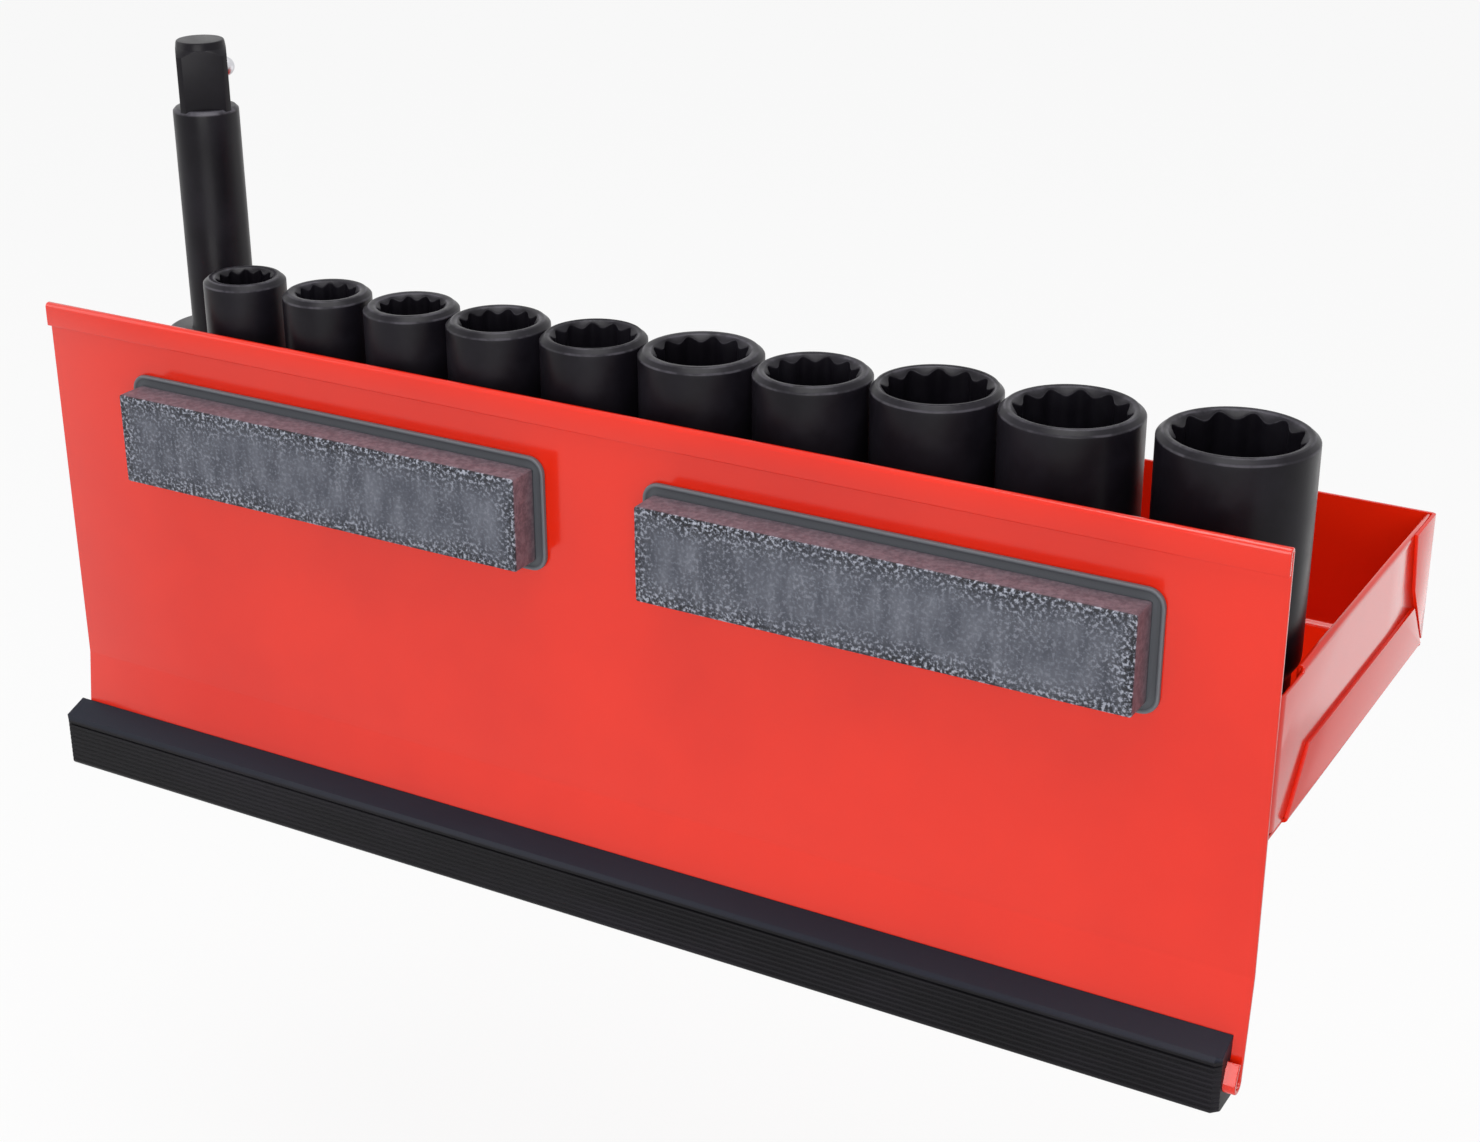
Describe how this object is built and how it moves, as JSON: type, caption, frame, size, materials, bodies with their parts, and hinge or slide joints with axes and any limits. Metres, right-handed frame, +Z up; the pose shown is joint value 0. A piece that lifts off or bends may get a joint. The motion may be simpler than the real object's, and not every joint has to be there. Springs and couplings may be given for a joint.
{
  "type": "magnetic socket tray",
  "caption": "Shallow sheet-metal side tray that hangs on a steel cabinet by magnets above a ribbed rubber bumper, holding a row of impact sockets and an extension bar.",
  "frame": {"origin": "on the bumper's outer face, on the centre of its middle rib and on the panel's centre line", "axes": "+X along the tray towards the extension bar, +Y at the cabinet, +Z up; the cabinet's surface is Y = 0"},
  "size_m": [0.3285, 0.1196, 0.1877],
  "materials": {
    "red_paint": "smooth gloss powder coat",
    "black_rubber": "satin",
    "grey_plastic": "moulded, speckled face",
    "zinc_steel": "zinc plated",
    "ferrite": "sintered",
    "rivet_aluminium": "plain",
    "black_steel": "satin black phosphate",
    "bright_steel": "polished",
    "spring_steel": "plain"
  },
  "bodies": {
    "tray": {"mounting_panel": "red_paint", "tray_wrap": "red_paint", "tray_pan": "red_paint", "bumper_strip": "black_rubber", "magnet_cover_left": "grey_plastic", "magnet_cover_right": "grey_plastic", "keeper_plate_left": "zinc_steel", "keeper_plate_right": "zinc_steel", "magnet_bars_left": "ferrite", "magnet_bars_right": "ferrite", "magnet_rivets": "rivet_aluminium"},
    "socket_01": {"socket_01": "black_steel"},
    "socket_02": {"socket_02": "black_steel"},
    "socket_03": {"socket_03": "black_steel"},
    "socket_04": {"socket_04": "black_steel"},
    "socket_05": {"socket_05": "black_steel"},
    "socket_06": {"socket_06": "black_steel"},
    "socket_07": {"socket_07": "black_steel"},
    "socket_08": {"socket_08": "black_steel"},
    "socket_09": {"socket_09": "black_steel"},
    "socket_10": {"socket_10": "black_steel"},
    "extension": {"extension_bar": "black_steel", "detent_spring": "spring_steel"},
    "detent": {"detent_ball": "bright_steel"}
  },
  "joints": [
    {"name": "socket_01_lift", "type": "slide", "parent": "tray", "child": "socket_01", "axis": [0, 0, 1], "range_m": [0, 0.09]},
    {"name": "socket_02_lift", "type": "slide", "parent": "tray", "child": "socket_02", "axis": [0, 0, 1], "range_m": [0, 0.09]},
    {"name": "socket_03_lift", "type": "slide", "parent": "tray", "child": "socket_03", "axis": [0, 0, 1], "range_m": [0, 0.09]},
    {"name": "socket_04_lift", "type": "slide", "parent": "tray", "child": "socket_04", "axis": [0, 0, 1], "range_m": [0, 0.09]},
    {"name": "socket_05_lift", "type": "slide", "parent": "tray", "child": "socket_05", "axis": [0, 0, 1], "range_m": [0, 0.09]},
    {"name": "socket_06_lift", "type": "slide", "parent": "tray", "child": "socket_06", "axis": [0, 0, 1], "range_m": [0, 0.09]},
    {"name": "socket_07_lift", "type": "slide", "parent": "tray", "child": "socket_07", "axis": [0, 0, 1], "range_m": [0, 0.09]},
    {"name": "socket_08_lift", "type": "slide", "parent": "tray", "child": "socket_08", "axis": [0, 0, 1], "range_m": [0, 0.09]},
    {"name": "socket_09_lift", "type": "slide", "parent": "tray", "child": "socket_09", "axis": [0, 0, 1], "range_m": [0, 0.09]},
    {"name": "socket_10_lift", "type": "slide", "parent": "tray", "child": "socket_10", "axis": [0, 0, 1], "range_m": [0, 0.09]},
    {"name": "extension_lift", "type": "slide", "parent": "tray", "child": "extension", "axis": [0, 0, 1], "range_m": [0, 0.1]},
    {"name": "detent_press", "type": "slide", "parent": "extension", "child": "detent", "axis": [0.7431, 0.6691, 0], "range_m": [0, 0.0018], "stiffness_N_per_m": 3000, "springref_m": -0.0005, "deforming": ["detent_spring"]}
  ]
}
